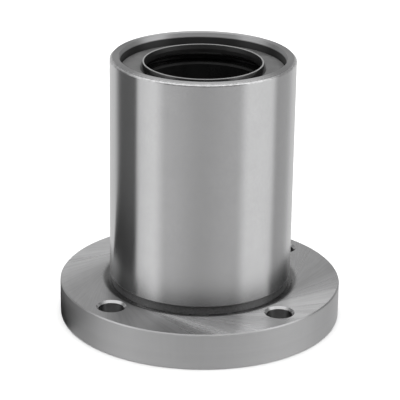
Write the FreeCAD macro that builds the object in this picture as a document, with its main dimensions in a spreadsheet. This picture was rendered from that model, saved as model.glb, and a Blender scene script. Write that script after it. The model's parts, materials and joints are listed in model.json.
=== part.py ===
"""Flanged linear ball bushing for a 25 mm shaft.

Frame: Z is the bushing's axis.  z = 0 is the flange's outer end face and +Z runs to the nose.
A hardened outer cylinder with a one-piece round flange holds a moulded ball retainer between two
snap rings, and a lip seal closes each end.  The balls run in closed circuits: a loaded row that
carries the shaft, a turn at the nose, a return row further out, and a turn at the flange end.
Every circuit lies in its own flat plane, tilted so that the return row clears the shaft.

All lengths are millimetres and all angles degrees.
"""

import FreeCAD
import Part
import Sketcher
import math
import os

App = FreeCAD
Vector = App.Vector

# ------------------------------------------------------------------ driving dimensions

DIMENSIONS = {
    # interface sizes
    "shaft_radius": 12.5,
    "body_radius": 20.0,
    "body_length": 59.0,
    "flange_radius": 31.0,
    "flange_thickness": 8.0,
    "bolt_circle_radius": 25.5,
    "bolt_hole_radius": 2.75,
    "bolt_count": 4,
    "bolt_first_angle": 45.0,
    "head_radius": 4.5,
    "head_depth": 5.1,
    "hole_chamfer": 0.49,
    "head_chamfer": 0.25,
    # edges of the outer cylinder, and the relief that the grinding wheel runs out into
    "nose_chamfer": 0.55,
    "mouth_chamfer": 0.25,
    "mouth_depth": 0.9,
    "flange_chamfer": 0.3,
    "relief_radius": 19.6,
    "relief_top": 9.5,
    "relief_depth": 0.5,
    "relief_floor_radius": 20.3,
    "relief_edge_radius": 22.0,
    # bore of the outer cylinder, depths measured inwards from either end face
    "seat_radius": 17.8,
    "groove_radius": 18.4,
    "groove_start": 3.95,
    "groove_end": 5.25,
    "turn_room_end": 14.0,
    "ramp_length": 1.5,
    "raceway_play": 0.04,
    # ball circuits
    "ball_radius": 1.9845,
    "ball_gap": 0.04,
    "circuit_count": 6,
    "balls_per_row": 8,
    "balls_per_turn": 2,
    "return_radius": 15.6,
    "flute_play": 0.09,
    # ball retainer
    "retainer_inner_radius": 12.95,
    "retainer_outer_radius": 16.35,
    "retainer_start": 5.3,
    "retainer_chamfer": 0.4,
    "channel_play": 0.08,
    # snap rings
    "ring_inner_radius": 15.6,
    "ring_outer_radius": 18.3,
    "ring_start": 4.0,
    "ring_thickness": 1.2,
    "ring_gap_angle": 16.0,
    "ring_end_radius": 0.4,
    # seals, depths measured inwards from either end face
    "collar_start": 1.05,
    "collar_inner_radius": 12.68,
    "collar_outer_radius": 12.98,
    "collar_foot_radius": 13.5,
    "collar_edge": 0.1,
    "lip_start": 2.1,
    "lip_end": 2.9,
    "lip_flare_radius": 13.3,
    "seal_floor": 2.5,
    "seal_edge": 0.2,
    "seal_end": 3.85,
    "core_inner_radius": 14.2,
    "core_outer_radius": 17.2,
    "core_start": 3.05,
}


class Size:
    """A number together with the spreadsheet formula that gives it."""

    def __init__(self, value, formula):
        self.value = value
        self.formula = formula

    def combine(self, other, sign, value):
        formula = other.formula if isinstance(other, Size) else repr(other)
        return Size(value, f"({self.formula} {sign} {formula})")

    def __add__(self, other):
        return self.combine(other, "+", self.value + number(other))

    def __sub__(self, other):
        return self.combine(other, "-", self.value - number(other))

    def __mul__(self, other):
        return self.combine(other, "*", self.value * number(other))

    def __truediv__(self, other):
        return self.combine(other, "/", self.value / number(other))


ZERO = Size(0.0, "0")


def number(size):
    """The plain value of a Size or of a number."""
    return size.value if isinstance(size, Size) else size


def circuit_dimensions(d):
    """Sizes of a ball circuit that follow from the driving ones.

    Ball centres in a turn stand one pitch apart, measured straight across, and the turn holds a
    whole number of them, which fixes its radius.  The loaded and return rows are two turn radii
    apart, so their distances from the axis fix the tilted plane that holds the circuit.
    """
    pitch = 2 * d["ball_radius"] + d["ball_gap"]
    step = 180.0 / d["balls_per_turn"]
    turn_radius = pitch / (2 * math.sin(math.radians(step / 2)))
    loaded_radius = d["shaft_radius"] + d["ball_radius"]
    spread = d["return_radius"] ** 2 - loaded_radius**2
    row_offset = spread / (4 * turn_radius)
    plane_distance = math.sqrt(loaded_radius**2 - (row_offset - turn_radius) ** 2)
    return {
        "ball_pitch": pitch,
        "turn_step": step,
        "turn_radius": turn_radius,
        "row_length": pitch * d["balls_per_row"],
        "row_offset": row_offset,
        "plane_distance": plane_distance,
        "raceway_radius": d["shaft_radius"] + 2 * d["ball_radius"] + d["raceway_play"],
        "channel_radius": d["ball_radius"] + d["channel_play"],
        "flute_radius": d["ball_radius"] + d["flute_play"],
    }


def write_sheet(doc, values):
    """Puts every value in the spreadsheet, one aliased cell per row."""
    sheet = doc.addObject("Spreadsheet::Sheet", "Dimensions")
    for row, (alias, value) in enumerate(values.items(), start=1):
        sheet.set(f"A{row}", alias)
        sheet.set(f"B{row}", repr(value))
        sheet.setAlias(f"B{row}", alias)
    doc.recompute()
    return sheet


# ------------------------------------------------------------------ modelling helpers


def new_body(doc, name):
    body = doc.addObject("PartDesign::Body", name)
    body.Label = name
    return body


def origin_feature(body, role):
    """The body's own origin plane or axis with that role, such as XZ_Plane."""
    return next(f for f in body.Origin.OriginFeatures if f.Role == role)


def new_sketch(body, name, role, turn=None, lift=None):
    """A sketch on one of the body's origin planes, turned about the sketch's own upright axis
    and lifted along its normal."""
    sketch = body.newObject("Sketcher::SketchObject", name)
    sketch.AttachmentSupport = [(origin_feature(body, role), "")]
    sketch.MapMode = "FlatFace"
    spin = App.Rotation(Vector(0, 1, 0), turn.value if turn else 0.0)
    height = lift.value if lift else 0.0
    sketch.AttachmentOffset = App.Placement(Vector(0, 0, height), spin)
    if turn:
        sketch.setExpression("AttachmentOffset.Rotation.Angle", turn.formula)
    if lift:
        sketch.setExpression("AttachmentOffset.Base.z", lift.formula)
    return sketch


def bind_length(feature, size):
    """Sets a pad's or pocket's length and ties it to the spreadsheet."""
    feature.Type = "Length"
    feature.Length = size.value
    feature.setExpression("Length", size.formula)


def bind(sketch, constraint, size, label):
    """Adds a dimensional constraint and ties it to the spreadsheet."""
    index = sketch.addConstraint(constraint)
    sketch.renameConstraint(index, label)
    sketch.setExpression(f"Constraints.{label}", size.formula)


def pin_point(sketch, geometry, place, x, y, label):
    """Fixes a point of a sketch at x, y from the sketch's origin."""
    for kind, size, tag, axis in (("DistanceX", x, "x", -2), ("DistanceY", y, "y", -1)):
        if number(size) == 0:
            on_axis = Sketcher.Constraint("PointOnObject", geometry, place, axis)
            sketch.addConstraint(on_axis)
            continue
        reach = Sketcher.Constraint(kind, -1, 1, geometry, place, number(size))
        bind(sketch, reach, size, f"{label}_{tag}")


def draw_outline(sketch, corners):
    """A closed outline of straight lines through corners, each a pair of Sizes."""
    points = [Vector(number(x), number(y), 0) for x, y in corners]
    lines = []
    for start, end in zip(points, points[1:] + points[:1]):
        lines.append(sketch.addGeometry(Part.LineSegment(start, end), False))
    for line, following in zip(lines, lines[1:] + lines[:1]):
        sketch.addConstraint(Sketcher.Constraint("Coincident", line, 2, following, 1))
    for line, (x, y) in zip(lines, corners):
        pin_point(sketch, line, 1, x, y, f"corner{line}")


def draw_circle(sketch, x, y, radius, label):
    """A circle at x, y."""
    shape = Part.Circle(Vector(number(x), number(y), 0), Vector(0, 0, 1), number(radius))
    circle = sketch.addGeometry(shape, False)
    pin_point(sketch, circle, 3, x, y, label)
    reach = Sketcher.Constraint("Radius", circle, number(radius))
    bind(sketch, reach, radius, f"{label}_radius")
    return circle


def draw_racetrack(sketch, x, y, half_length, radius, label):
    """A closed oval centred on x, y: two upright lines joined by half circles."""
    left, right = number(x) - number(radius), number(x) + number(radius)
    top, low = number(y) + number(half_length), number(y) - number(half_length)
    middle = number(x)
    up = Vector(0, 0, 1)
    first = sketch.addGeometry(Part.LineSegment(Vector(left, low, 0), Vector(left, top, 0)), False)
    upper = Part.Circle(Vector(middle, top, 0), up, number(radius))
    over = sketch.addGeometry(Part.ArcOfCircle(upper, 0, math.pi), False)
    last = sketch.addGeometry(Part.LineSegment(Vector(right, top, 0), Vector(right, low, 0)), False)
    lower = Part.Circle(Vector(middle, low, 0), up, number(radius))
    under = sketch.addGeometry(Part.ArcOfCircle(lower, math.pi, 2 * math.pi), False)
    # An arc runs anticlockwise: the upper one ends on the left and the lower one on the right.
    joints = [(first, 2, over, 2), (last, 1, over, 1), (last, 2, under, 2), (first, 1, under, 1)]
    for line, line_end, arc, arc_end in joints:
        sketch.addConstraint(Sketcher.Constraint("Tangent", line, line_end, arc, arc_end))
    pin_point(sketch, over, 3, x, y + half_length, f"{label}_over")
    pin_point(sketch, under, 3, x, y - half_length, f"{label}_under")
    reach = Sketcher.Constraint("Radius", over, number(radius))
    bind(sketch, reach, radius, f"{label}_radius")


def revolve(body, sketch, name, kind="PartDesign::Revolution", axis="V_Axis"):
    """Turns a sketch a full turn about one of its own axes."""
    feature = body.newObject(kind, name)
    feature.Profile = sketch
    feature.ReferenceAxis = (sketch, [axis])
    feature.Angle = 360.0
    sketch.Visibility = False
    return feature


def cut_outwards(body, sketch, name):
    """A pocket that runs on through the body, the way the sketch faces."""
    pocket = body.newObject("PartDesign::Pocket", name)
    pocket.Profile = sketch
    pocket.Type = "ThroughAll"
    pocket.Reversed = True
    return pocket


def repeat_round(body, features, name, count):
    """Repeats features evenly about the body's Z axis."""
    pattern = body.newObject("PartDesign::PolarPattern", name)
    pattern.Originals = features
    pattern.Axis = (origin_feature(body, "Z_Axis"), [""])
    pattern.Angle = 360.0
    pattern.Occurrences = int(number(count))
    pattern.setExpression("Occurrences", count.formula)
    body.Tip = pattern
    return pattern


def round_edges(body, feature, names, radius, name):
    """Rounds a feature's named edges."""
    fillet = body.newObject("PartDesign::Fillet", name)
    fillet.Base = (feature, names)
    fillet.Radius = radius.value
    fillet.setExpression("Radius", radius.formula)


def circle_edges(shape, radius, z):
    """Names of a shape's round edges of that radius at that height."""
    names = []
    for index, edge in enumerate(shape.Edges, start=1):
        curve = edge.Curve
        if not isinstance(curve, Part.Circle):
            continue
        if abs(curve.Radius - radius) < 1e-4 and abs(curve.Center.z - z) < 1e-4:
            names.append(f"Edge{index}")
    return names


# ------------------------------------------------------------------ the sub-parts


def make_outer_cylinder(doc, dim):
    """The hardened cylinder and its flange, one turned and ground piece."""
    body = new_body(doc, "flanged_outer_cylinder")
    length, face = dim("body_length"), dim("flange_thickness")
    outer, flange, seat = dim("body_radius"), dim("flange_radius"), dim("seat_radius")
    nose, edge, mouth = dim("nose_chamfer"), dim("flange_chamfer"), dim("mouth_chamfer")
    relief, sunk = dim("relief_radius"), dim("relief_depth")
    outside = [
        (seat + mouth, ZERO),
        (flange - edge, ZERO),
        (flange, edge),
        (flange, face - edge),
        (flange - edge, face),
        (dim("relief_edge_radius"), face),
        (dim("relief_floor_radius"), face - sunk),
        (relief, face - sunk),
        (relief, dim("relief_top") - (outer - relief)),
        (outer, dim("relief_top")),
        (outer, length - nose),
        (outer - nose, length),
        (seat + mouth, length),
    ]
    # One end of the bore as pairs of radius and depth, from the mouth inwards.
    bore_end = [
        (seat, dim("mouth_depth")),
        (seat, dim("groove_start")),
        (dim("groove_radius"), dim("groove_start")),
        (dim("groove_radius"), dim("groove_end")),
        (seat, dim("groove_end")),
        (seat, dim("turn_room_end")),
        (dim("raceway_radius"), dim("turn_room_end") + dim("ramp_length")),
    ]
    nose_side = [(radius, length - depth) for radius, depth in bore_end]
    turned = new_sketch(body, "turned_section", "XZ_Plane")
    draw_outline(turned, outside + nose_side + bore_end[::-1])
    revolve(body, turned, "turned_blank")

    # The flute runs out into the wider turn rooms at both ends.
    flute = new_sketch(body, "flute_section", "XY_Plane", lift=dim("turn_room_end"))
    return_row = dim("row_offset") + dim("turn_radius")
    draw_circle(flute, dim("plane_distance"), return_row, dim("flute_radius"), "flute")
    first_flute = body.newObject("PartDesign::Pocket", "return_flute")
    first_flute.Profile = flute
    first_flute.Reversed = True
    bind_length(first_flute, length - dim("turn_room_end") * 2)
    repeat_round(body, [first_flute], "return_flutes", dim("circuit_count"))

    hole = new_sketch(body, "bolt_hole_section", "XZ_Plane", turn=dim("bolt_first_angle"))
    centre, bolt, head = dim("bolt_circle_radius"), dim("bolt_hole_radius"), dim("head_radius")
    sharp, bevel = dim("head_chamfer"), dim("hole_chamfer")
    hole_section = [
        (centre, ZERO),
        (centre + head + sharp, ZERO),
        (centre + head, sharp),
        (centre + head, dim("head_depth")),
        (centre + bolt, dim("head_depth")),
        (centre + bolt, face - bevel),
        (centre + bolt + bevel, face),
        (centre, face),
    ]
    draw_outline(hole, hole_section)
    foot, top = Vector(centre.value, 0, 0), Vector(centre.value, face.value, 0)
    axis = hole.addGeometry(Part.LineSegment(foot, top), True)
    hole.addConstraint(Sketcher.Constraint("Coincident", axis, 1, 0, 1))
    hole.addConstraint(Sketcher.Constraint("Coincident", axis, 2, len(hole_section) - 1, 1))
    first_hole = revolve(body, hole, "bolt_hole", "PartDesign::Groove", "Axis0")
    repeat_round(body, [first_hole], "bolt_holes", dim("bolt_count"))
    return body


def make_retainer(doc, dim):
    """The moulded retainer: a tube with one oval ball channel per circuit, open to the outside all
    round and to the shaft along the loaded row."""
    body = new_body(doc, "ball_retainer")
    inner, outer = dim("retainer_inner_radius"), dim("retainer_outer_radius")
    start, length, edge = dim("retainer_start"), dim("body_length"), dim("retainer_chamfer")
    tube = new_sketch(body, "tube_section", "XZ_Plane")
    draw_outline(
        tube,
        [
            (inner + edge, start),
            (outer - edge, start),
            (outer, start + edge),
            (outer, length - start - edge),
            (outer - edge, length - start),
            (inner + edge, length - start),
            (inner, length - start - edge),
            (inner, start + edge),
        ],
    )
    revolve(body, tube, "tube")

    middle, half_row = length / 2, dim("row_length") / 2
    offset, turn, channel = dim("row_offset"), dim("turn_radius"), dim("channel_radius")
    path = new_sketch(body, "ball_path", "YZ_Plane", lift=dim("plane_distance"))
    draw_racetrack(path, offset, middle, half_row, turn, "path")
    section = new_sketch(body, "channel_section", "XY_Plane", lift=middle - half_row)
    draw_circle(section, dim("plane_distance"), offset - turn, channel, "channel")
    groove = body.newObject("PartDesign::SubtractivePipe", "channel_floor")
    groove.Profile = section
    groove.Spine = path
    opening = new_sketch(body, "channel_opening", "YZ_Plane", lift=dim("plane_distance"))
    draw_racetrack(opening, offset, middle, half_row, turn + channel, "outside")
    draw_racetrack(opening, offset, middle, half_row, turn - channel, "island")
    mouth = cut_outwards(body, opening, "channel_mouth")
    repeat_round(body, [groove, mouth], "channels", dim("circuit_count"))
    return body


def draw_open_ring(sketch, inner, outer, gap_angle):
    """A ring round the sketch's origin with a gap of that angle on the sketch's X axis."""
    half_gap = math.radians(gap_angle.value / 2)
    arcs = []
    for label, radius in (("inner", inner), ("outer", outer)):
        circle = Part.Circle(Vector(0, 0, 0), Vector(0, 0, 1), radius.value)
        arc = sketch.addGeometry(Part.ArcOfCircle(circle, half_gap, 2 * math.pi - half_gap), False)
        sketch.addConstraint(Sketcher.Constraint("Coincident", arc, 3, -1, 1))
        bind(sketch, Sketcher.Constraint("Radius", arc, radius.value), radius, f"{label}_radius")
        arcs.append(arc)
    for label, arc_end, side in (("first", 1, 1), ("last", 2, -1)):
        way = Vector(math.cos(half_gap), side * math.sin(half_gap), 0)
        near, far = way * inner.value, way * outer.value
        end = sketch.addGeometry(Part.LineSegment(near, far), False)
        sketch.addConstraint(Sketcher.Constraint("Coincident", end, 1, arcs[0], arc_end))
        sketch.addConstraint(Sketcher.Constraint("Coincident", end, 2, arcs[1], arc_end))
        sketch.addConstraint(Sketcher.Constraint("PointOnObject", -1, 1, end))
        slope = Sketcher.Constraint("Angle", end, side * half_gap)
        bind(sketch, slope, gap_angle * (side * 0.5), f"{label}_end_angle")


def make_snap_ring(doc, dim, name):
    """A flat open ring that springs into the groove and holds the retainer in."""
    body = new_body(doc, name)
    outline = new_sketch(body, "ring_outline", "XY_Plane")
    draw_open_ring(outline, dim("ring_inner_radius"), dim("ring_outer_radius"), dim("ring_gap_angle"))
    plate = body.newObject("PartDesign::Pad", "ring_plate")
    plate.Profile = outline
    bind_length(plate, dim("ring_thickness"))
    doc.recompute()
    corners = [
        f"Edge{index}"
        for index, edge in enumerate(plate.Shape.Edges, start=1)
        if abs(edge.tangentAt(edge.FirstParameter).z) > 0.9
    ]
    round_edges(body, plate, corners, dim("ring_end_radius"), "ring_ends")
    return body


def make_seal(doc, dim, name):
    """The rubber of an end seal: a thin collar with the wiping lip inside it, and a flat web out
    to the seat.  It is drawn with the bushing's end face at z = 0 and its depth along +Z."""
    body = new_body(doc, name)
    lip, seat, back = dim("shaft_radius"), dim("seat_radius"), dim("seal_end")
    inner, outer, top = dim("collar_inner_radius"), dim("collar_outer_radius"), dim("collar_start")
    floor, edge = dim("seal_floor"), dim("seal_edge")
    section = new_sketch(body, "seal_section", "XZ_Plane")
    draw_outline(
        section,
        [
            (inner, top),
            (outer, top),
            (dim("collar_foot_radius"), floor),
            (seat - edge, floor),
            (seat, floor + edge),
            (seat, back),
            (dim("core_outer_radius"), back),
            (dim("core_outer_radius"), dim("core_start")),
            (dim("core_inner_radius"), dim("core_start")),
            (dim("core_inner_radius"), back),
            (dim("lip_flare_radius"), back),
            (lip, dim("lip_end")),
            (lip, dim("lip_start")),
        ],
    )
    turned = revolve(body, section, "seal_ring")
    doc.recompute()
    rims = circle_edges(turned.Shape, inner.value, top.value)
    rims += circle_edges(turned.Shape, outer.value, top.value)
    round_edges(body, turned, rims, dim("collar_edge"), "collar_edges")
    return body


def make_seal_core(doc, dim, name):
    """The steel washer moulded into the back of a seal, drawn in the seal's own frame."""
    body = new_body(doc, name)
    inner, outer = dim("core_inner_radius"), dim("core_outer_radius")
    start, back = dim("core_start"), dim("seal_end")
    section = new_sketch(body, "core_section", "XZ_Plane")
    draw_outline(section, [(inner, start), (outer, start), (outer, back), (inner, back)])
    revolve(body, section, "core_ring")
    return body


def make_ball(doc, dim, name, x, y):
    """One ball, placed in its circuit's plane by two formulas."""
    ball = doc.addObject("Part::Sphere", name)
    ball.Radius = dim("ball_radius").value
    ball.setExpression("Radius", dim("ball_radius").formula)
    ball.Placement.Base = Vector(x.value, y.value, dim("plane_distance").value)
    ball.setExpression("Placement.Base.x", x.formula)
    ball.setExpression("Placement.Base.y", y.formula)
    ball.setExpression("Placement.Base.z", dim("plane_distance").formula)
    return ball


def row_places(dim, side):
    """Centres of a straight row's balls in the circuit's plane, on side -1 or +1."""
    x = dim("row_offset") + dim("turn_radius") * side
    count = int(dim("balls_per_row").value)
    return [(x, dim("ball_pitch") * (index + 0.5 - count / 2)) for index in range(count)]


def turn_places(dim, end):
    """Centres of a turn's balls in the circuit's plane, at end +1 (nose) or -1 (flange)."""
    count = int(dim("balls_per_turn").value)
    places = []
    for index in range(count):
        angle = math.radians(dim("turn_step").value * (index + 0.5))
        x = dim("row_offset") + dim("turn_radius") * math.cos(angle)
        y = (dim("row_length") / 2 + dim("turn_radius") * math.sin(angle)) * end
        places.append((x, y))
    return places


def make_circuit(doc, dim, number_in_ring):
    """The four groups of balls of one circuit, each a compound of separate balls.

    In a group's own frame X runs round the bushing, Y along its axis and Z outwards; the group's
    Placement stands that frame up at mid length and turns it to the circuit's place."""
    groups = {
        "loaded_row": row_places(dim, -1),
        "nose_turn": turn_places(dim, 1),
        "return_row": row_places(dim, 1),
        "flange_turn": turn_places(dim, -1),
    }
    stand_up = App.Rotation(Vector(0, 1, 0), Vector(0, 0, 1), Vector(1, 0, 0), "ZXY")
    round_axis = App.Rotation(Vector(0, 0, 1), 360.0 / dim("circuit_count").value * number_in_ring)
    middle = Vector(0, 0, dim("body_length").value / 2)
    made = []
    for name, places in groups.items():
        label = f"{name}_{number_in_ring + 1}"
        balls = [
            make_ball(doc, dim, f"{label}_ball_{index}", x, y)
            for index, (x, y) in enumerate(places, start=1)
        ]
        group = doc.addObject("Part::Compound", label)
        group.Label = label
        group.Links = balls
        group.Placement = App.Placement(middle, round_axis * stand_up)
        made.append(group)
    return made


def place_end_part(part, dim, start, at_nose):
    """Puts a part drawn with its outer face at z = 0 and its depth along +Z at one end."""
    if at_nose:
        turned = App.Rotation(Vector(1, 0, 0), 180)
        part.Placement = App.Placement(Vector(0, 0, dim("body_length").value - start), turned)
    else:
        part.Placement = App.Placement(Vector(0, 0, start), App.Rotation())


# ------------------------------------------------------------------ assembly and export


def build(doc):
    """Makes every sub-part and returns them."""
    values = dict(DIMENSIONS)
    values.update(circuit_dimensions(DIMENSIONS))
    write_sheet(doc, values)

    def dim(alias):
        return Size(values[alias], f"Dimensions.{alias}")

    parts = [make_outer_cylinder(doc, dim), make_retainer(doc, dim)]
    for end, at_nose in (("nose", True), ("flange", False)):
        ring = make_snap_ring(doc, dim, f"snap_ring_{end}")
        place_end_part(ring, dim, values["ring_start"], at_nose)
        seal = make_seal(doc, dim, f"seal_rubber_{end}")
        core = make_seal_core(doc, dim, f"seal_core_{end}")
        for part in (seal, core):
            place_end_part(part, dim, 0.0, at_nose)
        parts += [ring, seal, core]
    for index in range(values["circuit_count"]):
        parts += make_circuit(doc, dim, index)
    doc.recompute()
    return parts


def check(doc, parts):
    """Stops if any object failed or any sub-part is not made of sound solids."""
    for item in doc.Objects:
        if {"Invalid", "Error"} & set(item.State):
            raise RuntimeError(f"{item.Label} failed: {item.State}")
    for part in parts:
        shape = part.Shape
        if shape.isNull() or not shape.isValid() or not shape.Solids:
            raise RuntimeError(f"{part.Label} has no sound shape")


def export(parts):
    os.makedirs("parts", exist_ok=True)
    for part in parts:
        part.Shape.exportStep(f"parts/{part.Label}.step")
        print(f"{part.Label}: {len(part.Shape.Solids)} solid(s), {part.Shape.Volume:.2f} mm3")


document = FreeCAD.newDocument("linear_ball_bushing")
sub_parts = build(document)
check(document, sub_parts)
export(sub_parts)
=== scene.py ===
"""Looks of a flanged linear ball bushing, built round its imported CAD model.

Every piece of the bushing is rigid and comes from the CAD model, so this script gives each one a
material with the finish that it was made with, and adds the floor, the studio and the camera.
The bushing stands on its flange, with its axis along Z and the end face at z = 0.
"""

import json
import math

import bpy
from mathutils import Matrix, Vector


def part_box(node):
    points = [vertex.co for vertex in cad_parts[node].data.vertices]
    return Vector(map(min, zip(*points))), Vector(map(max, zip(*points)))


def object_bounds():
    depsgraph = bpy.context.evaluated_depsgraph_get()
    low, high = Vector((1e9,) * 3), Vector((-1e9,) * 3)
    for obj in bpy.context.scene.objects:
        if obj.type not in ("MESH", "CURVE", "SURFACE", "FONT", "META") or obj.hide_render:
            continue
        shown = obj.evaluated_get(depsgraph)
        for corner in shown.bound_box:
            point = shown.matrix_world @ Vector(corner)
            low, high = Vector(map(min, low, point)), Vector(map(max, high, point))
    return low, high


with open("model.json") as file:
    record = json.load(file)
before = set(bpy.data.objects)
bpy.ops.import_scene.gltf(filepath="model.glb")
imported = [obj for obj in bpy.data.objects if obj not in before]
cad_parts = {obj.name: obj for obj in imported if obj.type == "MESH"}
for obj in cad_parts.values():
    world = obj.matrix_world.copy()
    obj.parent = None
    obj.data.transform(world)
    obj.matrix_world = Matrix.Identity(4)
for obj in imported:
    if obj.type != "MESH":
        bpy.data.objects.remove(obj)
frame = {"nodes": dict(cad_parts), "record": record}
cad_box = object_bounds()

MM = 0.001

# ---------------------------------------------------------------- sizes read from the frame


def mount(name):
    """One of the record's mounts."""
    return next(m for m in frame["record"]["mounts"] if m["name"] == name)


body_radius = mount("housing_spigot")["dims"]["r_mm"] * MM
shaft_radius = mount("shaft_bore")["dims"]["r_mm"] * MM
flange_top = mount("flange_bolts")["pos_m"][2]
total_height = cad_box[1].z
flange_radius = cad_box[1].x
seat_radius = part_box("seal_rubber_nose")[1].x
bolts = mount("flange_bolts")["dims"]
bolt_offset = bolts["pcd_mm"] * MM / 2 * math.cos(math.radians(45))
bolt_radius = bolts["hole_r_mm"] * MM

# Edges of the outer cylinder and of the seals that their materials follow.
NOSE_CHAMFER = 0.55 * MM
MOUTH_DEPTH = 0.9 * MM
COLLAR_TOP = 1.05 * MM
HOLE_EDGE = 0.5 * MM
FLANGE_CHAMFER = 0.3 * MM
RELIEF_WIDTH = 2.0 * MM
relief_edge = body_radius + RELIEF_WIDTH

# How far from the axis the grinding marks of the flange's face pass.
MARK_OFFSET = 20.6 * MM

# ---------------------------------------------------------------- camera

AIM = Vector((-0.00022, 0.0, 0.0261))
CAMERA_DISTANCE = 0.4152
CAMERA_AZIMUTH = math.radians(-87.2)
CAMERA_ELEVATION = math.radians(21.21)
CAMERA_ROLL = math.radians(0.91)
LENS_MM = 170.2


def direction(azimuth, elevation):
    """Unit vector at that azimuth from +X and that elevation above the floor."""
    flat = math.cos(elevation)
    return Vector((flat * math.cos(azimuth), flat * math.sin(azimuth), math.sin(elevation)))


def make_camera():
    data = bpy.data.cameras.new("camera")
    data.lens = LENS_MM
    data.sensor_width = 36.0
    data.clip_start = 0.01
    camera = bpy.data.objects.new("camera", data)
    bpy.context.scene.collection.objects.link(camera)
    towards = direction(CAMERA_AZIMUTH, CAMERA_ELEVATION)
    facing = (-towards).to_track_quat("-Z", "Y").to_matrix().to_4x4()
    roll = Matrix.Rotation(CAMERA_ROLL, 4, "Z")
    camera.matrix_world = Matrix.Translation(AIM + towards * CAMERA_DISTANCE) @ facing @ roll
    bpy.context.scene.camera = camera


# ---------------------------------------------------------------- node trees in few words


class Tree:
    """A node tree, with short ways to add nodes and join them."""

    def __init__(self, tree):
        self.nodes = tree.nodes
        self.links = tree.links
        self.nodes.clear()

    def add(self, kind, inputs=None, **settings):
        """Adds a node.  inputs maps socket names or numbers to values or other nodes' sockets."""
        node = self.nodes.new("ShaderNode" + kind)
        for name, value in settings.items():
            setattr(node, name, value)
        for key, value in (inputs or {}).items():
            self.give(node.inputs[key], value)
        return node

    def give(self, socket, value):
        if isinstance(value, bpy.types.NodeSocket):
            self.links.new(value, socket)
        else:
            socket.default_value = value

    def math(self, operation, *values, clamp=False):
        inputs = dict(enumerate(values))
        return self.add("Math", inputs, operation=operation, use_clamp=clamp).outputs[0]

    def vector(self, operation, *values):
        node = self.add("VectorMath", dict(enumerate(values)), operation=operation)
        scalar = operation in ("DOT_PRODUCT", "LENGTH")
        return node.outputs["Value" if scalar else "Vector"]

    def scale(self, vector, share):
        inputs = {0: vector, "Scale": share}
        return self.add("VectorMath", inputs, operation="SCALE").outputs["Vector"]

    def azimuth(self, vector):
        """The way round of a vector, in radians from +X."""
        parts = self.add("SeparateXYZ", {0: vector})
        return self.math("ARCTAN2", parts.outputs["Y"], parts.outputs["X"])

    def combine(self, x, y, z):
        return self.add("CombineXYZ", {0: x, 1: y, 2: z}).outputs[0]

    def ease(self, value, low, high, start=0.0, end=1.0):
        """Goes smoothly from start to end as value goes from low to high."""
        inputs = {"Value": value, "From Min": low, "From Max": high, "To Min": start, "To Max": end}
        return self.add("MapRange", inputs, interpolation_type="SMOOTHSTEP").outputs["Result"]

    def noise(self, vector, scale, detail=3.0, roughness=0.5):
        """Fractal noise from 0 to 1, with 0.5 in the middle."""
        inputs = {"Vector": vector, "Scale": scale, "Detail": detail, "Roughness": roughness}
        return self.add("TexNoise", inputs).outputs["Fac"]

    def blend(self, share, first, second):
        """Mixes two numbers."""
        inputs = {"Factor": share, "A": first, "B": second}
        return self.add("Mix", inputs, data_type="FLOAT").outputs["Result"]

    def level_ring(self, share, stops):
        """Levels round a circle, from stops of degrees and level, at share of the way from -180."""
        top = max(level for angle, level in stops)
        ramp = self.add("ValToRGB", {"Fac": share})
        ramp.color_ramp.interpolation = "EASE"
        elements = ramp.color_ramp.elements
        while len(elements) < len(stops):
            elements.new(0.5)
        for element, (angle, level) in zip(elements, stops):
            element.position = angle / 360 + 0.5
            element.color = grey(level / top)
        return self.math("MULTIPLY", ramp.outputs["Color"], top)

    def blend_colour(self, share, first, second):
        node = self.add("Mix", data_type="RGBA")
        sockets = {socket.identifier: socket for socket in node.inputs}
        self.give(sockets["Factor_Float"], share)
        self.give(sockets["A_Color"], first)
        self.give(sockets["B_Color"], second)
        return next(s for s in node.outputs if s.identifier == "Result_Color")

    def blend_vector(self, share, first, second):
        node = self.add("Mix", data_type="VECTOR")
        sockets = {socket.identifier: socket for socket in node.inputs}
        self.give(sockets["Factor_Float"], share)
        self.give(sockets["A_Vector"], first)
        self.give(sockets["B_Vector"], second)
        return next(s for s in node.outputs if s.identifier == "Result_Vector")


def new_material(name):
    material = bpy.data.materials.new(name)
    material.use_nodes = True
    return material, Tree(material.node_tree)


def finish_material(t, shader):
    t.add("OutputMaterial", {"Surface": shader.outputs["BSDF"]})


def grey(value):
    return (value, value, value, 1.0)


class Place:
    """Where a point lies on the bushing, as sockets: its radius, its height and the way round."""

    def __init__(self, t):
        position = t.add("TexCoord").outputs["Object"]
        parts = t.add("SeparateXYZ", {0: position})
        self.position = position
        self.x, self.y, self.height = (parts.outputs[axis] for axis in "XYZ")
        across = t.combine(self.x, self.y, 0.0)
        self.radius = t.vector("LENGTH", across)
        self.outward = t.vector("NORMALIZE", across)
        self.along_turn = t.vector("CROSS_PRODUCT", (0.0, 0.0, 1.0), self.outward)
        self.normal = t.add("NewGeometry").outputs["Normal"]
        self.facing_up = t.add("SeparateXYZ", {0: self.normal}).outputs["Z"]

    def turned_marks(self, t, per_mm):
        """Noise drawn out into rings round the axis, about per_mm of them in a millimetre."""
        profile = t.math("MULTIPLY_ADD", self.radius, 0.6, self.height)
        lift = t.math("MULTIPLY", profile, per_mm / MM)
        return t.vector("ADD", t.scale(self.outward, 0.4), t.combine(0.0, 0.0, lift))


# ---------------------------------------------------------------- materials

# A surface whose normal points up at least this much is flat, or else sloped.
FLAT_FACING = 0.9
SLOPED_FACING = 0.3

STEEL_COLOUR = (0.66, 0.66, 0.665)

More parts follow.
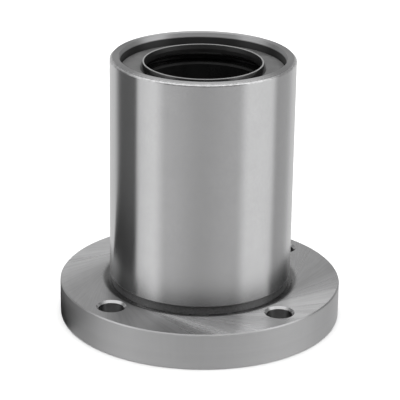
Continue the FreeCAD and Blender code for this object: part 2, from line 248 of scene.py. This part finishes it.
# Shade of each surface of the outer cylinder, as a share of the steel's colour.  The painted shade
# levels darken the relief, its foot line, the bore and the bolt holes' walls, where shade falls.
RELIEF_PAINTED_SHADE = 0.35
FOOT_LINE_PAINTED_SHADE = 0.6
SEAT_PAINTED_SHADE = 0.12
MOUTH_PAINTED_SHADE = 0.8
HOLE_WALL_PAINTED_SHADE = 0.24
HOLE_EDGE_SHADE = 0.75
RIM_SHADE = 0.93
FLANGE_EDGE_SHADE = 0.95
NOSE_FACE_SHADE = 0.68

# Roughness of each surface of the outer cylinder.
TURNED_ROUGH = 0.42
WALL_ROUGH = 0.19
RELIEF_ROUGH = 0.6
RIM_ROUGH = 0.31
NOSE_EDGE_ROUGH = 0.24
HOLE_EDGE_ROUGH = 0.2
FACE_ROUGH = (0.26, 0.31)

# How light the flange's face is painted by the heading of its grinding marks, in degrees from +X: the
# wheel crossed the face in several sweeps, and this painted sheen stands in for the light that each
# sweep catches.  The sheen is painted, so it stays in its place as the view moves.
FACE_PAINTED_SHEEN = [
    (-180, 0.75),
    (-150, 0.90),
    (-90, 0.87),
    (-74, 0.58),
    (-58, 0.62),
    (-46, 0.88),
    (-35, 1.40),
    (-22, 1.02),
    (-8, 0.80),
    (15, 0.95),
    (30, 0.82),
    (52, 0.78),
    (70, 0.90),
    (140, 0.90),
    (180, 0.75),
]


def between(t, value, low, high):
    """1 where value lies between low and high, else 0."""
    return t.math("MULTIPLY", t.math("GREATER_THAN", value, low), t.math("LESS_THAN", value, high))


def both(t, first, second):
    return t.math("MULTIPLY", first, second)


def opposite(t, share):
    return t.math("SUBTRACT", 1.0, share)


def ring_line(t, value, middle, width):
    """1 on a line where value is middle, fading to 0 at width to either side."""
    return t.ease(t.math("ABSOLUTE", t.math("SUBTRACT", value, middle)), 0.0, width, 1.0, 0.0)


def shaded(t, shade, where, level):
    """The shade times level where the surface is, and the shade alone elsewhere."""
    return t.math("MULTIPLY", shade, t.blend(where, 1.0, level))


class SteelSurfaces:
    """Which surface of the outer cylinder a point is on, each from 0 to 1."""

    def __init__(self, t, place):
        radius, height, facing_up = place.radius, place.height, place.facing_up
        side_x = t.math("SUBTRACT", t.math("ABSOLUTE", place.x), bolt_offset)
        side_y = t.math("SUBTRACT", t.math("ABSOLUTE", place.y), bolt_offset)
        from_bolt = t.vector("LENGTH", t.combine(side_x, side_y, 0.0))
        near_bolt = t.math("LESS_THAN", from_bolt, bolt_radius + HOLE_EDGE)
        steep = t.math("LESS_THAN", t.math("ABSOLUTE", facing_up), FLAT_FACING)
        in_hole = both(t, near_bolt, steep)
        self.hole_wall = both(t, in_hole, t.math("LESS_THAN", facing_up, SLOPED_FACING))
        self.hole_edge = both(t, in_hole, t.math("GREATER_THAN", facing_up, SLOPED_FACING))

        near_body = t.math("LESS_THAN", radius, relief_edge)
        relief_heights = between(t, height, flange_top - 0.6 * MM, flange_top + 1.49 * MM)
        self.relief = both(t, near_body, relief_heights)
        self.undercut = both(t, self.relief, t.math("LESS_THAN", radius, body_radius))
        # A line of painted shade round the outer foot of the relief.
        foot_line = ring_line(t, radius, relief_edge - 0.9 * MM, 0.7 * MM)
        self.foot_line = both(t, self.relief, foot_line)

        self.inside = t.math("LESS_THAN", radius, seat_radius + 0.02 * MM)
        self.wall = between(t, radius, body_radius - 0.02 * MM, body_radius + 0.02 * MM)
        self.rim = t.math("GREATER_THAN", radius, flange_radius - 0.05 * MM)
        flat = t.math("GREATER_THAN", facing_up, FLAT_FACING)
        self.upper_face = both(t, flat, t.math("LESS_THAN", height, flange_top + 0.1 * MM))
        self.nose_face = both(t, flat, t.math("GREATER_THAN", height, total_height - 0.05 * MM))

        sloped = between(t, facing_up, SLOPED_FACING, FLAT_FACING)
        on_body_edge = both(t, sloped, t.math("GREATER_THAN", radius, body_radius - NOSE_CHAMFER))
        near_end = t.math("GREATER_THAN", height, total_height - NOSE_CHAMFER)
        self.nose_edge = both(t, on_body_edge, near_end)
        on_flange_edge = t.math("GREATER_THAN", radius, flange_radius - FLANGE_CHAMFER)
        self.flange_edge = both(t, sloped, on_flange_edge)


class SteelMarks:
    """Marks that turning and grinding left on the outer cylinder, as noise from 0 to 1.

    The face of the flange is ground by a wheel that crosses it, so its marks are straight lines
    that all pass the axis at the same distance."""

    def __init__(self, t, place, on):
        self.fine = t.noise(place.turned_marks(t, 6.0), 1.0, 2.0, 0.6)
        self.coarse = t.noise(place.turned_marks(t, 0.8), 1.0, 3.0, 0.6)
        self.cloud = t.noise(place.position, 180.0, 3.0, 0.6)
        self.chips = t.noise(place.position, 1100.0, 3.0, 0.7)
        self.grit = t.noise(place.position, 2200.0, 3.0, 0.6)
        self.axial = t.ease(t.noise(place.outward, 24.0, 3.0, 0.6), 0.0, 1.0, 0.4, 0.6)

        reach = t.math("MAXIMUM", place.radius, MARK_OFFSET)
        lean = t.math("ARCSINE", t.math("DIVIDE", MARK_OFFSET, reach))
        self.heading = t.math("ADD", t.azimuth(place.position), lean)
        heading_x, heading_y = t.math("COSINE", self.heading), t.math("SINE", self.heading)
        line = t.combine(heading_x, heading_y, t.math("MULTIPLY", place.radius, 5.0))
        self.streaks = t.noise(line, 34.0, 4.0, 0.65)
        self.sweeps = t.noise(t.vector("ADD", line, (3.1, 0.0, 0.0)), 4.0, 2.0, 0.5)
        self.across = t.combine(t.math("MULTIPLY", heading_y, -1.0), heading_x, 0.0)

        texture = t.blend(on.upper_face, self.fine, self.streaks)
        texture = t.blend(on.rim, texture, self.axial)
        self.texture = t.blend(on.wall, texture, self.grit)


def face_painted_sheen(t, marks):
    """Painted sheen of the flange's face, by the heading of its marks, sweeps and streaks."""
    share = t.math("FRACT", t.math("MULTIPLY_ADD", marks.heading, 0.5 / math.pi, 1.5))
    sheen = t.level_ring(share, FACE_PAINTED_SHEEN)
    sheen = t.math("MULTIPLY", sheen, t.ease(marks.sweeps, 0.35, 0.65, 0.97, 1.03))
    return t.math("MULTIPLY", sheen, t.ease(marks.streaks, 0.35, 0.65, 0.95, 1.04))


def steel_shade(t, place, on, marks):
    shade = t.ease(marks.texture, 0.3, 0.7, 0.975, 1.015)
    ringed = t.blend(on.wall, t.ease(marks.coarse, 0.3, 0.7, 0.98, 1.01), 1.0)
    shade = t.math("MULTIPLY", shade, ringed)
    shade = t.math("MULTIPLY", shade, t.ease(marks.cloud, 0.3, 0.75, 0.98, 1.01))
    # Painted sheen on the flange's face, by the heading of its marks.
    shade = shaded(t, shade, on.upper_face, face_painted_sheen(t, marks))
    # Painted shade: the relief grows darker towards the wall, mottled by its grit.
    relief_painted_shade = t.ease(place.radius, body_radius, relief_edge, RELIEF_PAINTED_SHADE, 1.0)
    relief_painted_shade = t.math("MULTIPLY", relief_painted_shade, t.ease(marks.grit, 0.3, 0.7, 0.85, 1.1))
    shade = shaded(t, shade, on.relief, relief_painted_shade)
    # Painted shade in the bore: light at the mouth, dark deeper in.
    deep = total_height - MOUTH_DEPTH
    bore_painted_shade = t.ease(place.height, deep - 0.2 * MM, deep + 0.1 * MM, SEAT_PAINTED_SHADE, MOUTH_PAINTED_SHADE)
    shade = shaded(t, shade, on.inside, bore_painted_shade)
    # Painted shade on the walls of the bolt holes.
    shade = shaded(t, shade, on.hole_wall, HOLE_WALL_PAINTED_SHADE)
    shade = shaded(t, shade, on.hole_edge, HOLE_EDGE_SHADE)
    shade = shaded(t, shade, on.rim, RIM_SHADE)
    shade = shaded(t, shade, on.flange_edge, FLANGE_EDGE_SHADE)
    shade = shaded(t, shade, on.nose_edge, t.ease(marks.chips, 0.35, 0.65, 0.85, 1.1))
    shade = shaded(t, shade, on.nose_face, NOSE_FACE_SHADE)
    # Painted shade along the relief's foot line.
    return shaded(t, shade, on.foot_line, FOOT_LINE_PAINTED_SHADE)


def steel_roughness(t, on, marks):
    rough = t.blend(on.wall, TURNED_ROUGH, WALL_ROUGH)
    rough = t.blend(on.undercut, rough, RELIEF_ROUGH)
    rough = t.blend(on.rim, rough, RIM_ROUGH)
    rough = t.blend(on.nose_edge, rough, NOSE_EDGE_ROUGH)
    rough = t.blend(on.upper_face, rough, t.ease(marks.sweeps, 0.35, 0.65, *FACE_ROUGH))
    rough = t.blend(on.hole_edge, rough, HOLE_EDGE_ROUGH)
    return t.math("ADD", rough, t.ease(marks.texture, 0.3, 0.7, -0.01, 0.01))


def steel_tangent(t, place, on, marks):
    """A ground surface spreads its highlights across the marks, and the rim is ground along Z."""
    spread = t.vector("CROSS_PRODUCT", place.normal, place.along_turn)
    tangent = t.blend_vector(on.upper_face, spread, marks.across)
    return t.blend_vector(on.rim, tangent, place.along_turn)


def steel_normal(t, place, on, marks):
    """The normal with the marks' bump, and with the relief's slope run smoothly into the face.

    The wall and the rim are true cylinders, and the nose's chamfer is rounded over by wear."""
    up = (0.0, 0.0, 1.0)
    levelled = both(t, on.upper_face, t.ease(place.radius, body_radius + 0.5 * MM, relief_edge))
    normal = t.blend_vector(levelled, place.normal, up)
    normal = t.blend_vector(t.math("MAXIMUM", on.wall, on.rim), normal, place.outward)
    turned_up = t.ease(place.height, total_height - NOSE_CHAMFER, total_height, 0.2, 1.0)
    worn = t.blend_vector(turned_up, place.outward, up)
    normal = t.vector("NORMALIZE", t.blend_vector(on.nose_edge, normal, worn))

    depth = t.math("MULTIPLY", t.math("MULTIPLY", marks.fine, opposite(t, on.wall)), 0.3)
    depth = t.blend(on.upper_face, depth, t.math("MULTIPLY", marks.streaks, 0.4))
    depth = t.math("ADD", depth, t.math("MULTIPLY", on.relief, marks.grit))
    inputs = {"Strength": 0.1, "Distance": 0.01 * MM, "Height": depth, "Normal": normal}
    return t.add("Bump", inputs).outputs["Normal"]


def bearing_steel():
    """The outer cylinder: ground round its outside, cross-ground on the flange's face, and left as
    turned in the relief, the bore, the bolt holes and the edge of the flange."""
    material, t = new_material("bearing_steel")
    place = Place(t)
    on = SteelSurfaces(t, place)
    marks = SteelMarks(t, place, on)
    shader = t.add("BsdfPrincipled", {
        "Base Color": t.scale(STEEL_COLOUR, steel_shade(t, place, on, marks)),
        "Metallic": 1.0,
        "Roughness": steel_roughness(t, on, marks),
        "Anisotropic": 1.0,
        "Tangent": steel_tangent(t, place, on, marks),
        "Normal": steel_normal(t, place, on, marks),
    })
    finish_material(t, shader)
    return material


def ball_steel():
    """Lapped balls: nearly mirrors, with faint scratches and a trace of oil."""
    material, t = new_material("ball_steel")
    position = t.add("TexCoord").outputs["Object"]
    haze = t.noise(position, 900.0, 4.0, 0.6)
    film = t.noise(position, 260.0, 2.0, 0.5)
    stretched = t.vector("MULTIPLY", position, (1.0, 0.25, 0.6))
    scratches = t.noise(stretched, 6000.0, 2.0, 0.7)
    shade = t.ease(film, 0.35, 0.7, 0.94, 1.0)
    colour = t.scale((0.78, 0.78, 0.79), shade)
    rough = t.math("ADD", t.ease(haze, 0.35, 0.7, 0.05, 0.12), t.ease(scratches, 0.6, 0.75, 0.0, 0.06))
    bump = t.add("Bump", {"Strength": 0.05, "Distance": 0.002 * MM, "Height": scratches})
    shader = t.add("BsdfPrincipled", {
        "Base Color": colour, "Metallic": 1.0, "Roughness": rough, "Normal": bump.outputs["Normal"],
    })
    finish_material(t, shader)
    return material


def retainer_resin():
    """Black moulded resin with a fine spark-eroded grain, oily in places."""
    material, t = new_material("retainer_resin")
    position = t.add("TexCoord").outputs["Object"]
    grain = t.noise(position, 2600.0, 3.0, 0.6)
    flow = t.noise(t.vector("MULTIPLY", position, (1.0, 1.0, 0.35)), 160.0, 3.0, 0.55)
    oil = t.noise(position, 220.0, 3.0, 0.6)
    colour = t.blend_colour(t.ease(flow, 0.3, 0.7), grey(0.008), grey(0.016))
    rough = t.math("ADD", t.ease(oil, 0.4, 0.65, 0.28, 0.5), t.ease(grain, 0.3, 0.7, -0.05, 0.05))
    bump = t.add("Bump", {"Strength": 0.25, "Distance": 0.01 * MM, "Height": grain})
    shader = t.add("BsdfPrincipled", {
        "Base Color": colour, "Roughness": rough, "Specular IOR Level": 0.15,
        "Normal": bump.outputs["Normal"],
    })
    finish_material(t, shader)
    return material


def seal_rubber():
    """Black nitrile rubber: glossy on the collar and the lip, where the mould was polished, and
    matt on its flat face, painted lighter with dust and a painted sheen, with faint rings from the
    mould."""
    material, t = new_material("seal_rubber")
    place = Place(t)
    grain = t.noise(place.position, 3000.0, 3.0, 0.6)
    rings = t.noise(place.turned_marks(t, 3.0), 1.0, 2.0, 0.5)
    bloom = t.noise(place.position, 300.0, 4.0, 0.6)
    specks = t.ease(t.noise(place.position, 1500.0, 2.0, 0.6), 0.66, 0.72)
    flat = t.math("GREATER_THAN", t.math("ABSOLUTE", place.facing_up), FLAT_FACING)
    outer = t.math("GREATER_THAN", place.radius, shaft_radius + 0.9 * MM)
    face = both(t, flat, outer)
    # The flat face is painted a lighter grey: partly a little dust, partly a painted sheen of the light
    # across it.
    face_dust_and_sheen = t.blend_colour(t.ease(bloom, 0.3, 0.7), grey(0.06), grey(0.09))
    face_dust_and_sheen = t.blend_colour(t.math("MULTIPLY", specks, 0.5), face_dust_and_sheen, grey(0.02))
    glossy = t.blend_colour(t.ease(bloom, 0.35, 0.7), grey(0.009), grey(0.015))
    colour = t.blend_colour(face, glossy, face_dust_and_sheen)
    from_end = t.math("MINIMUM", place.height, t.math("SUBTRACT", total_height, place.height))
    near_end = t.math("LESS_THAN", from_end, COLLAR_TOP + 0.12 * MM)
    # The collar's crest is painted light grey: a painted highlight along its top edge.
    crest_painted_highlight = both(t, near_end, t.math("LESS_THAN", place.radius, shaft_radius + 0.6 * MM))
    colour = t.blend_colour(crest_painted_highlight, colour, grey(0.2))
    rough = t.blend(face, t.ease(bloom, 0.3, 0.7, 0.12, 0.18), t.ease(bloom, 0.3, 0.7, 0.45, 0.6))
    inside = t.math("LESS_THAN", place.radius, shaft_radius + 0.25 * MM)
    rough = t.blend(both(t, inside, opposite(t, flat)), rough, 0.35)
    depth = t.math("MULTIPLY", face, t.math("ADD", t.math("MULTIPLY", grain, 0.6), rings))
    bump = t.add("Bump", {"Strength": 0.3, "Distance": 0.02 * MM, "Height": depth})
    shader = t.add("BsdfPrincipled", {
        "Base Color": colour, "Roughness": rough, "Specular IOR Level": 1.0,
        "Normal": bump.outputs["Normal"],
    })
    finish_material(t, shader)
    return material


def sheet_steel(name, base, rough_low, rough_high):
    """Cold-rolled steel of the snap rings and the seal cores: rolled grain and a film of oil."""
    material, t = new_material(name)
    position = t.add("TexCoord").outputs["Object"]
    grain = t.noise(t.vector("MULTIPLY", position, (0.12, 1.0, 1.0)), 2400.0, 4.0, 0.65)
    patches = t.noise(position, 300.0, 4.0, 0.6)
    shade = t.math("MULTIPLY", t.ease(grain, 0.3, 0.7, 0.9, 1.05), t.ease(patches, 0.3, 0.7, 0.85, 1.0))
    colour = t.scale(base, shade)
    rough = t.ease(patches, 0.3, 0.7, rough_low, rough_high)
    bump = t.add("Bump", {"Strength": 0.1, "Distance": 0.01 * MM, "Height": grain})
    shader = t.add("BsdfPrincipled", {
        "Base Color": colour, "Metallic": 1.0, "Roughness": rough, "Normal": bump.outputs["Normal"],
    })
    finish_material(t, shader)
    return material


def dress_nodes():
    """Gives every CAD node the material of its slot in the record."""
    materials = {
        "ground_steel": bearing_steel(),
        "ball_steel": ball_steel(),
        "retainer_resin": retainer_resin(),
        "seal_rubber": seal_rubber(),
        "spring_steel": sheet_steel("spring_steel", (0.1, 0.1, 0.1), 0.3, 0.45),
        "core_steel": sheet_steel("core_steel", (0.3, 0.3, 0.3), 0.28, 0.4),
    }
    for part in frame["record"]["subparts"]:
        for slot in frame["nodes"][part["node"]].material_slots:
            slot.material = materials[part["material_slot"]]


# ---------------------------------------------------------------- floor and studio

FLOOR_HALF_WIDTH = 3.0
FLOOR_DROP = 0.05 * MM
CARD_STEPS = 48
# Grey of the dark cards, a painted shadow of the bushing on the table.
SHADOW_CARD_GREY = 0.02
LID_GAP = 0.3 * MM
SOFT_BOX_SIZE = 1.6
SOFT_BOX_WATTS = 15.0
SOFT_BOX_HEIGHT = 1.2


def make_floor():
    """A wide pale floor just under the end face."""
    half = FLOOR_HALF_WIDTH
    corners = [(-half, -half), (half, -half), (half, half), (-half, half)]
    mesh = bpy.data.meshes.new("floor")
    mesh.from_pydata([(x, y, -FLOOR_DROP) for x, y in corners], [], [(0, 1, 2, 3)])
    floor = bpy.data.objects.new("floor", mesh)
    bpy.context.scene.collection.objects.link(floor)
    material, t = new_material("floor_paper")
    position = t.add("TexCoord").outputs["Object"]
    tone = t.ease(t.noise(position, 30.0, 2.0), 0.3, 0.7, 0.0, 1.0)
    colour = t.blend_colour(tone, grey(0.89), grey(0.9))
    finish_material(t, t.add("BsdfDiffuse", {"Color": colour}))
    mesh.materials.append(material)
    floor.visible_glossy = False


# How bright the studio looks from the bushing: towards the table, towards the flange, and level with
# the bushing or above it.  The stops are degrees of azimuth from the camera's side, with positive to
# the right.  They are fitted so that the polished wall shows the bands of the photograph.
TABLE_LIGHT = [
    (-180, 0.70),
    (-140, 0.68),
    (-120, 0.12),
    (-90, 0.12),
    (-85, 0.80),
    (-62, 0.88),
    (-44, 0.58),
    (0, 0.46),
    (44, 0.54),
    (60, 0.84),
    (94, 0.84),
    (106, 0.43),
    (126, 0.46),
    (150, 0.70),
    (180, 0.70),
]
# The light of the card over the flange: a painted reflection of the flange's face, as the wall mirrors
# it.
FLANGE_PAINTED_REFLECTION = [
    (-180, 0.30),
    (-150, 0.28),
    (-120, 0.08),
    (-90, 0.09),
    (-84, 0.40),
    (-60, 0.66),
    (-42, 0.30),
    (0, 0.17),
    (40, 0.27),
    (60, 0.46),
    (94, 0.54),
    (106, 0.11),
    (145, 0.07),
    (180, 0.30),
]
ROOM_LIGHT = [
    (-180, 0.50),
    (-140, 0.50),
    (-112, 0.30),
    (-94, 0.90),
    (-62, 0.90),
    (-46, 0.15),
    (0, 0.08),
    (46, 0.15),
    (62, 1.20),
    (90, 1.20),
    (106, 0.35),
    (150, 0.35),
    (180, 0.50),
]
OVERHEAD_LIGHT = 1.4

# Between which upward parts of a direction the table gives way to the room, and the room to the light
# overhead.
TABLE_TO_ROOM = (-0.1, 0.3)
ROOM_TO_OVERHEAD = (0.55, 0.85)


def make_studio():
    """Soft panels and dark screens all round, as a world, with a wide soft light overhead.

    The background paper is lit evenly, so the camera itself sees a plain pale world."""
    world = bpy.data.worlds.new("studio")
    bpy.context.scene.world = world
    world.use_nodes = True
    t = Tree(world.node_tree)
    way = t.add("TexCoord").outputs["Generated"]
    from_camera = t.math("SUBTRACT", t.azimuth(way), CAMERA_AZIMUTH)
    share = t.math("FRACT", t.math("MULTIPLY_ADD", from_camera, 0.5 / math.pi, 1.5))
    upward = t.add("SeparateXYZ", {0: way}).outputs["Z"]
    table = t.level_ring(share, TABLE_LIGHT)
    room = t.level_ring(share, ROOM_LIGHT)
    around = t.blend_colour(t.ease(upward, *TABLE_TO_ROOM), table, room)
    around = t.blend_colour(t.ease(upward, *ROOM_TO_OVERHEAD), around, grey(OVERHEAD_LIGHT))
    seen = t.add("LightPath").outputs["Is Camera Ray"]
    colour = t.blend_colour(seen, around, grey(1.0))
    background = t.add("Background", {"Color": colour, "Strength": 1.0})
    t.add("OutputWorld", {"Surface": background.outputs[0]})


def card_mesh(name, first, last, inner, outer, height):
    """A flat part of a ring that faces up, between two azimuths in degrees from the camera's side."""
    edge = []
    for radius, way in ((inner, 1), (outer, -1)):
        for step in range(CARD_STEPS + 1)[::way]:
            azimuth = CAMERA_AZIMUTH + math.radians(first + (last - first) * step / CARD_STEPS)
            edge.append(direction(azimuth, 0.0) * radius + Vector((0.0, 0.0, height)))
    mesh = bpy.data.meshes.new(name)
    mesh.from_pydata([tuple(corner) for corner in edge], [], [tuple(range(len(edge)))])
    if mesh.polygons[0].normal.z < 0:
        mesh.flip_normals()
    return mesh


def soft_edges(t, turn, radius, first, last, inner, outer, soft):
    """0 in the middle of a card, rising to 1 at its two sides and its outer edge."""
    middle = math.radians((first + last) / 2)
    half = math.radians((last - first) / 2)
    from_middle = t.math("ABSOLUTE", t.math("SUBTRACT", turn, middle))
    side_fade = t.ease(from_middle, half - math.radians(soft), half)
    outer_fade = t.ease(radius, (inner + outer) / 2, outer)
    return t.math("MAXIMUM", side_fade, outer_fade)


def card_painted_reflection(t, turn, radius, inner, outer, stops):
    """Painted reflection at the level that a card's stops give, brighter towards the card's outer edge.

    A stop's azimuth is the one that the bushing's wall mirrors, which the nearness of the wall
    bends away from the azimuth of the spot on the card."""
    bend = t.math("SUBTRACT", 1.0, t.math("DIVIDE", body_radius / 2, radius))
    share = t.math("MULTIPLY_ADD", t.math("DIVIDE", turn, bend), 0.5 / math.pi, 0.5)
    level = t.math("MULTIPLY", t.level_ring(share, stops), t.ease(radius, inner, outer, 0.5, 1.2))
    return t.add("Emission", {"Color": t.combine(level, level, level)}).outputs[0]


def make_card(name, first, last, inner, outer, height, soft=0.0, stops=None):
    """A flat card, part of a ring, that only polished surfaces show, and only from above.

    It is dark, as a painted shadow, with edges that fade over soft degrees, or it gives the light of
    its stops, as a painted reflection."""
    mesh = card_mesh(name, first, last, inner, outer, height)
    card = bpy.data.objects.new(name, mesh)
    bpy.context.scene.collection.objects.link(card)
    material, t = new_material(name)
    place = Place(t)
    from_camera = t.math("SUBTRACT", t.azimuth(place.position), CAMERA_AZIMUTH)
    turn = t.math("WRAP", from_camera, math.pi, -math.pi)
    hidden = t.add("NewGeometry").outputs["Backfacing"]
    if soft:
        edges = soft_edges(t, turn, place.radius, first, last, inner, outer, soft)
        hidden = t.math("MAXIMUM", hidden, edges)
    if stops:
        face = card_painted_reflection(t, turn, place.radius, inner, outer, stops)
    else:
        face = t.add("BsdfDiffuse", {"Color": grey(SHADOW_CARD_GREY)}).outputs["BSDF"]
    clear = t.add("BsdfTransparent").outputs["BSDF"]
    shader = t.add("MixShader", {0: hidden, 1: face, 2: clear})
    t.add("OutputMaterial", {"Surface": shader.outputs[0]})
    mesh.materials.append(material)
    card.visible_camera = False
    card.visible_diffuse = False
    card.visible_shadow = False


def make_cards():
    """A lit card over the flange, as a painted reflection of its face, and dark ones beside its rim and
    on the table, as the painted shadow of the bushing on the table.
    """
    near_rim = flange_radius + 0.3 * MM
    near_body = body_radius + 1.2 * MM
    lid = flange_top + LID_GAP
    make_card("flange_reflection_card", -180, 180, near_body, flange_radius, lid, stops=FLANGE_PAINTED_REFLECTION)
    make_card("rim_shadow_card", -86, -60, near_rim, 48 * MM, 0.1 * MM, soft=11)
    make_card("table_shadow_card", -124, -75, near_rim, 100 * MM, 0.05 * MM, soft=6)


def make_soft_box():
    """A wide light overhead, which lights the matt surfaces and isn't mirrored."""
    light = bpy.data.lights.new("soft_box", "AREA")
    light.shape = "SQUARE"
    light.size = SOFT_BOX_SIZE
    light.energy = SOFT_BOX_WATTS
    box = bpy.data.objects.new("soft_box", light)
    box.location = (0.0, 0.0, SOFT_BOX_HEIGHT)
    box.visible_glossy = False
    bpy.context.scene.collection.objects.link(box)


# ---------------------------------------------------------------- everything together

make_camera()
dress_nodes()
make_floor()
make_studio()
make_cards()
make_soft_box()
bpy.context.scene.view_settings.view_transform = "Standard"
